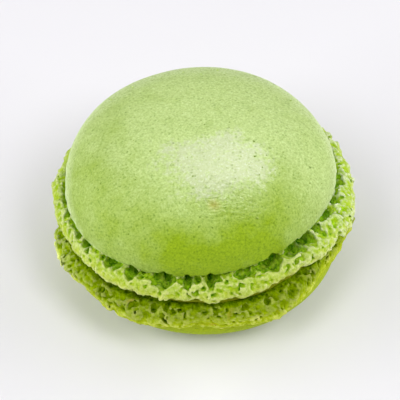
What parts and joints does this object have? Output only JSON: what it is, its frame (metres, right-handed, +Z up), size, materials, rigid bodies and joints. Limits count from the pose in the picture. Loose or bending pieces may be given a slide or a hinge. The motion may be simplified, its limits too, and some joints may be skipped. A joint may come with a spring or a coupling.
{
  "type": "french macaron",
  "caption": "Round sandwich biscuit: two smooth domed meringue shells, each on a ruffled, bubbly foot, with a thin cream layer between them.",
  "frame": {"origin": "on the surface the biscuit rests on, under the middle of its bounding box", "axes": "+Z up through both caps, -Y towards the viewer"},
  "size_m": [0.0458, 0.046, 0.0292],
  "materials": {
    "shell": "matte baked almond meringue, pale green, with a faint sheen on the smooth caps",
    "filling": "soft satin cream, olive green"
  },
  "bodies": {
    "root": {"top_shell": "shell", "filling": "filling", "bottom_shell": "shell"}
  },
  "joints": []
}
